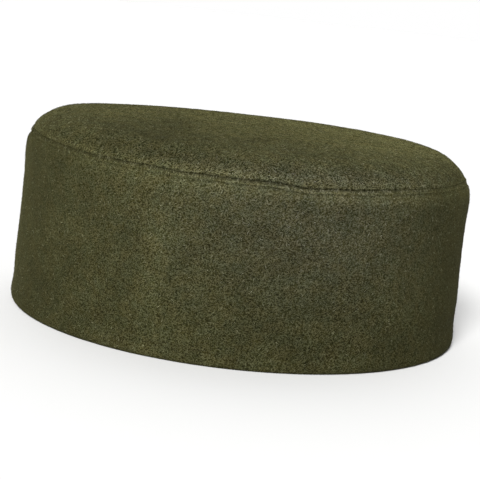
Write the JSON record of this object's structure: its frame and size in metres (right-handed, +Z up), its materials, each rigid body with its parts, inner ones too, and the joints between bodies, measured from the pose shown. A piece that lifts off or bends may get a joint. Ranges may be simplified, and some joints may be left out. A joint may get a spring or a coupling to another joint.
{
  "type": "kufi",
  "caption": "Round brimless cap of thick milled wool cloth: an upright band with a low, flat-topped crown sewn into it, worn on the head.",
  "frame": {"origin": "middle of the rim's circle, on the surface that the cap stands on", "axes": "+Z up from the rim to the crown, -Y towards the front, +X to the viewer's right"},
  "size_m": [0.1928, 0.1928, 0.0827],
  "materials": {
    "wool_cloth": "matt, short milled nap"
  },
  "bodies": {
    "root": {"band": "wool_cloth", "crown": "wool_cloth"}
  },
  "joints": []
}
